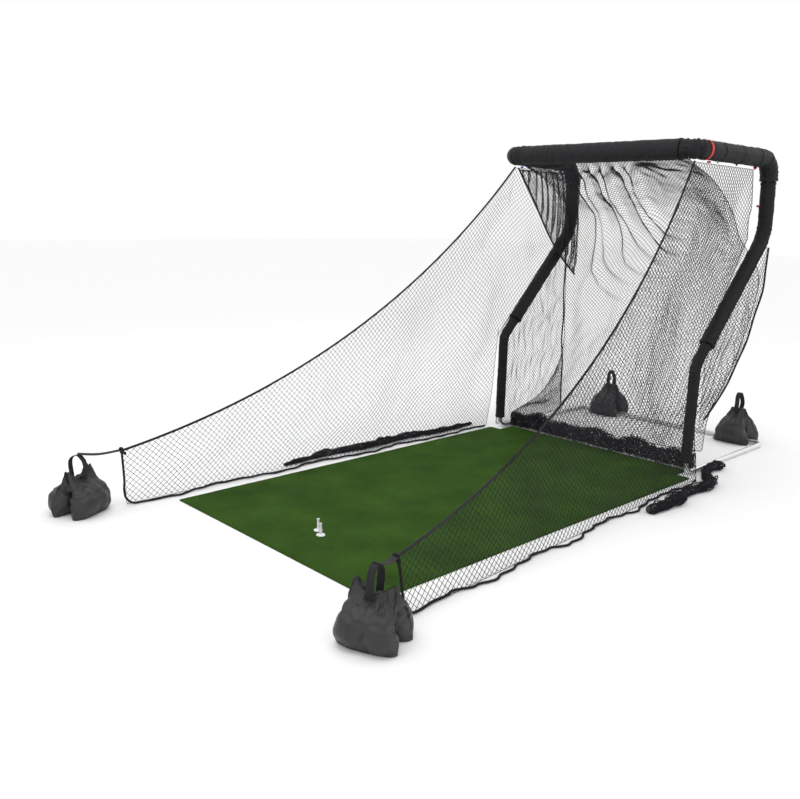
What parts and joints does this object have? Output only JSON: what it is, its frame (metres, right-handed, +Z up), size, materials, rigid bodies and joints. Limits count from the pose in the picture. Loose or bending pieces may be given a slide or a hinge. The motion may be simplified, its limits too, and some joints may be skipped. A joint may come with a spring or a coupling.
{
  "type": "golf chipping net",
  "caption": "Free-standing golf chipping net on a bent tube frame with padded sleeves, side barrier nets, turf mat, rubber tees and saddle sandbags.",
  "frame": {"origin": "on the floor, under the mat, midway between the two front feet", "axes": "+Z up, +Y from the player towards the back of the net, +X to the player's right"},
  "size_m": [2.6711, 5.1242, 2.296],
  "materials": {
    "frame_tube": "satin",
    "button_steel": "satin",
    "spring_steel": "satin",
    "pad_fabric": "coated nylon",
    "sleeve_fabric": "woven",
    "netting": "knotless twine",
    "rope": "braided",
    "red_tie": "woven",
    "blue_tie": "woven",
    "turf": "short pile",
    "tee_rubber": "matt",
    "sandbag_fabric": "coated nylon",
    "webbing": "woven"
  },
  "bodies": {
    "root": {"arm_pad_left": "pad_fabric", "arm_pad_right": "pad_fabric", "arm_ties": "rope", "arm_tube_left": "frame_tube", "arm_tube_right": "frame_tube", "barrier_net_left": "netting", "barrier_net_right": "netting", "barrier_rope_left": "rope", "barrier_rope_right": "rope", "base_tube_left": "frame_tube", "base_tube_right": "frame_tube", "blue_ties": "blue_tie", "border_rope_left": "rope", "border_rope_right": "rope", "button_springs": "spring_steel", "crossbar_pad": "pad_fabric", "crossbar_tube": "frame_tube", "diagonal_tube_left": "frame_tube", "diagonal_tube_right": "frame_tube", "gather_rope_left": "rope", "gathered_net_left": "netting", "leg_sleeve_left": "sleeve_fabric", "leg_sleeve_right": "sleeve_fabric", "leg_tube_left": "frame_tube", "leg_tube_right": "frame_tube", "net_bundle_left": "netting", "net_bundle_right": "netting", "net_lip": "netting", "rear_net": "netting", "rear_rope_left": "rope", "rear_rope_right": "rope", "red_ties": "red_tie", "sandbag_front_left": "sandbag_fabric", "sandbag_front_right": "sandbag_fabric", "sandbag_handle_front_left": "webbing", "sandbag_handle_front_right": "webbing", "shoulder_tube_left": "frame_tube", "shoulder_tube_right": "frame_tube", "side_net_left": "netting", "side_net_right": "netting", "turf_mat": "turf", "upper_sleeve_left": "sleeve_fabric", "upper_sleeve_right": "sleeve_fabric"},
    "snap_button_foot_left": {"snap_button_foot_left": "button_steel"},
    "snap_button_foot_right": {"snap_button_foot_right": "button_steel"},
    "snap_button_kink_left": {"snap_button_kink_left": "button_steel"},
    "snap_button_kink_right": {"snap_button_kink_right": "button_steel"},
    "snap_button_shoulder_left": {"snap_button_shoulder_left": "button_steel"},
    "snap_button_shoulder_right": {"snap_button_shoulder_right": "button_steel"},
    "snap_button_arm_left": {"snap_button_arm_left": "button_steel"},
    "snap_button_arm_right": {"snap_button_arm_right": "button_steel"},
    "snap_button_crossbar_left": {"snap_button_crossbar_left": "button_steel"},
    "snap_button_crossbar_right": {"snap_button_crossbar_right": "button_steel"},
    "snap_button_rear": {"snap_button_rear": "button_steel"},
    "sandbag_rear_left": {"sandbag_rear_left": "sandbag_fabric", "sandbag_handle_rear_left": "webbing"},
    "tee_left": {"tee_left": "tee_rubber"},
    "sandbag_rear_right": {"sandbag_rear_right": "sandbag_fabric", "sandbag_handle_rear_right": "webbing"},
    "tee_right": {"tee_right": "tee_rubber"}
  },
  "joints": [
    {"name": "press_foot_left", "type": "slide", "parent": "root", "child": "snap_button_foot_left", "axis": [0, 0, -1], "range_m": [0, 0.0058], "stiffness_N_per_m": 2000, "springref_m": -0.001},
    {"name": "press_foot_right", "type": "slide", "parent": "root", "child": "snap_button_foot_right", "axis": [0, 0, -1], "range_m": [0, 0.0058], "stiffness_N_per_m": 2000, "springref_m": -0.001},
    {"name": "press_kink_left", "type": "slide", "parent": "root", "child": "snap_button_kink_left", "axis": [1, 0, 0], "range_m": [0, 0.0058], "stiffness_N_per_m": 2000, "springref_m": -0.001},
    {"name": "press_kink_right", "type": "slide", "parent": "root", "child": "snap_button_kink_right", "axis": [-1, 0, 0], "range_m": [0, 0.0058], "stiffness_N_per_m": 2000, "springref_m": -0.001},
    {"name": "press_shoulder_left", "type": "slide", "parent": "root", "child": "snap_button_shoulder_left", "axis": [1, 0, 0], "range_m": [0, 0.0058], "stiffness_N_per_m": 2000, "springref_m": -0.001},
    {"name": "press_shoulder_right", "type": "slide", "parent": "root", "child": "snap_button_shoulder_right", "axis": [-1, 0, 0], "range_m": [0, 0.0058], "stiffness_N_per_m": 2000, "springref_m": -0.001},
    {"name": "press_arm_left", "type": "slide", "parent": "root", "child": "snap_button_arm_left", "axis": [1, 0, 0], "range_m": [0, 0.0058], "stiffness_N_per_m": 2000, "springref_m": -0.001},
    {"name": "press_arm_right", "type": "slide", "parent": "root", "child": "snap_button_arm_right", "axis": [-1, 0, 0], "range_m": [0, 0.0058], "stiffness_N_per_m": 2000, "springref_m": -0.001},
    {"name": "press_crossbar_left", "type": "slide", "parent": "root", "child": "snap_button_crossbar_left", "axis": [0, 0, -1], "range_m": [0, 0.0058], "stiffness_N_per_m": 2000, "springref_m": -0.001},
    {"name": "press_crossbar_right", "type": "slide", "parent": "root", "child": "snap_button_crossbar_right", "axis": [0, 0, -1], "range_m": [0, 0.0058], "stiffness_N_per_m": 2000, "springref_m": -0.001},
    {"name": "press_rear", "type": "slide", "parent": "root", "child": "snap_button_rear", "axis": [0, 0, -1], "range_m": [0, 0.0058], "stiffness_N_per_m": 2000, "springref_m": -0.001},
    {"name": "lift_sandbag_rear_left", "type": "slide", "parent": "root", "child": "sandbag_rear_left", "axis": [0, 0, 1], "range_m": [0, 0.35]},
    {"name": "lift_tee_left", "type": "slide", "parent": "root", "child": "tee_left", "axis": [0, 0, 1], "range_m": [0, 0.12]},
    {"name": "lift_sandbag_rear_right", "type": "slide", "parent": "root", "child": "sandbag_rear_right", "axis": [0, 0, 1], "range_m": [0, 0.35]},
    {"name": "lift_tee_right", "type": "slide", "parent": "root", "child": "tee_right", "axis": [0, 0, 1], "range_m": [0, 0.12]}
  ]
}
